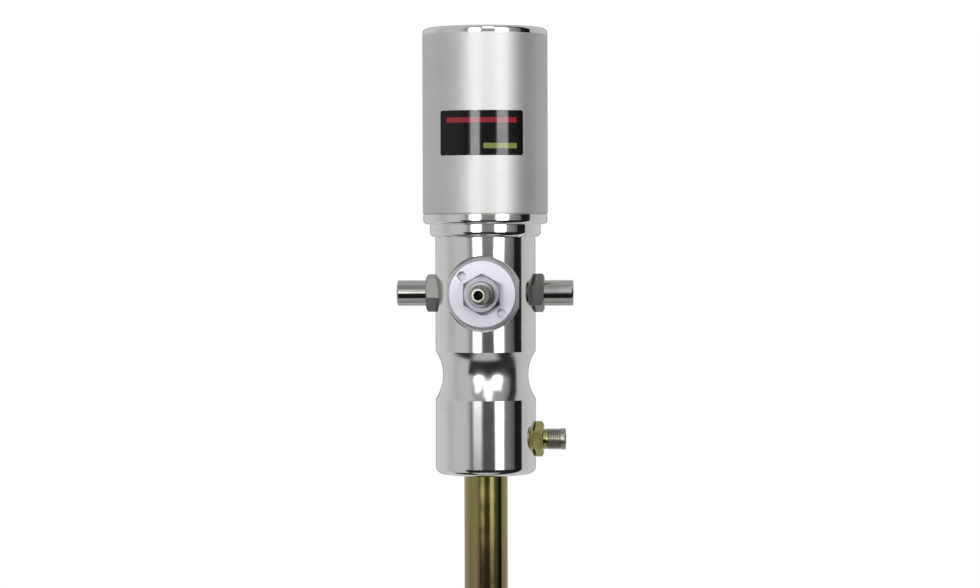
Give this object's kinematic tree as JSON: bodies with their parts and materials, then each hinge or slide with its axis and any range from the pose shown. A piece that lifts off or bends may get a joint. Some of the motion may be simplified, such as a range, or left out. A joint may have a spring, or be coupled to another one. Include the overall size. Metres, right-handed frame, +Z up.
{
  "type": "pneumatic grease pump",
  "caption": "Air-operated piston grease pump: cylindrical air motor with a waisted valve body, plug nipple, threaded outlet and a suction stem for a pail.",
  "frame": {"origin": "on the pump's axis at the flat underside of the motor body, where the suction tube leaves it", "axes": "+Z up along the stem and the air cylinder, -Y towards the air nipple, +X towards the grease outlet"},
  "size_m": [0.1092, 0.1175, 0.6754],
  "materials": {
    "polished_aluminium": "polished",
    "satin_aluminium": "satin anodised",
    "hard_anodised_aluminium": "hard anodised",
    "nickel_plated_steel": "bright nickel plated",
    "yellow_zinc_steel": "yellow zinc plated",
    "zinc_plated_steel": "clear zinc plated",
    "chromed_rod": "hard chromed and ground",
    "hardened_steel": "ground",
    "spring_steel": "oiled",
    "bronze": "machined",
    "sintered_bronze": "sintered",
    "brass": "machined",
    "copper": "soft",
    "nitrile_rubber": "moulded",
    "polyurethane": "moulded",
    "acetal": "machined"
  },
  "bodies": {
    "root": {"motor_body": "polished_aluminium", "cylinder_liner": "hard_anodised_aluminium", "outer_sleeve": "satin_aluminium", "cylinder_head": "polished_aluminium", "cylinder_seals": "nitrile_rubber", "rod_guide_bush": "bronze", "rod_seal": "polyurethane", "seal_retaining_ring": "spring_steel", "trip_rod_seal": "nitrile_rubber", "passage_plug": "zinc_plated_steel", "inlet_cover": "polished_aluminium", "cover_seal": "nitrile_rubber", "air_nipple": "nickel_plated_steel", "nipple_washer": "copper", "toggle_cap_left": "nickel_plated_steel", "toggle_cap_right": "nickel_plated_steel", "cap_washers": "copper", "valve_seat_plate": "hardened_steel", "seat_plate_screws": "zinc_plated_steel", "silencer_fitting": "brass", "silencer_element": "sintered_bronze", "outlet_adaptor": "yellow_zinc_steel", "outlet_washer": "copper", "gland_bush": "bronze", "gland_packing": "polyurethane", "gland_nut": "zinc_plated_steel", "suction_tube": "yellow_zinc_steel", "tube_seal": "nitrile_rubber", "pump_barrel": "yellow_zinc_steel", "foot_valve_seat": "hardened_steel", "inlet_nose": "yellow_zinc_steel"},
    "motor_piston": {"air_piston": "hard_anodised_aluminium", "piston_seal": "nitrile_rubber", "piston_guide_ring": "acetal", "piston_trip_seal": "nitrile_rubber", "piston_nut": "zinc_plated_steel", "piston_rod": "chromed_rod", "rod_coupling": "zinc_plated_steel", "coupling_pins": "hardened_steel", "connecting_rod": "zinc_plated_steel", "pump_piston": "hardened_steel", "pump_piston_seal": "polyurethane", "piston_cage": "hardened_steel", "shovel_rod": "zinc_plated_steel", "priming_shovel": "zinc_plated_steel", "shovel_nut": "zinc_plated_steel"},
    "piston_check_ball": {"piston_ball": "hardened_steel"},
    "foot_valve": {"foot_valve_disc": "hardened_steel"},
    "shuttle": {"trip_rod": "chromed_rod", "trip_stop_lower": "zinc_plated_steel", "trip_stop_upper": "zinc_plated_steel", "shuttle_yoke": "hardened_steel", "slide_valve": "acetal"},
    "toggle_left": {"toggle_seat_left": "hardened_steel", "toggle_spring_left": "spring_steel", "toggle_plunger_left": "hardened_steel"},
    "toggle_right": {"toggle_seat_right": "hardened_steel", "toggle_spring_right": "spring_steel", "toggle_plunger_right": "hardened_steel"}
  },
  "joints": [
    {"name": "stroke", "type": "slide", "parent": "root", "child": "motor_piston", "axis": [0, 0, 1], "range_m": [0, 0.065]},
    {"name": "shift", "type": "slide", "parent": "root", "child": "shuttle", "axis": [0, 0, 1], "range_m": [0, 0.008]},
    {"name": "toggle_left_swing", "type": "hinge", "parent": "root", "child": "toggle_left", "pos_m": [-0.048, 0, 0.112], "axis": [0, -1, 0], "range_deg": [0, 13.2]},
    {"name": "toggle_right_swing", "type": "hinge", "parent": "root", "child": "toggle_right", "pos_m": [0.048, 0, 0.112], "axis": [0, 1, 0], "range_deg": [0, 13.2]},
    {"name": "ball_lift", "type": "slide", "parent": "motor_piston", "child": "piston_check_ball", "axis": [0, 0, 1], "range_m": [0, 0.002]},
    {"name": "foot_lift", "type": "slide", "parent": "root", "child": "foot_valve", "axis": [0, 0, 1], "range_m": [0, 0.003]}
  ],
  "couplings": [
    {"joint": "toggle_left_swing", "follows": "shift", "rad_per_m": 28.448},
    {"joint": "toggle_right_swing", "follows": "shift", "rad_per_m": 28.448}
  ]
}
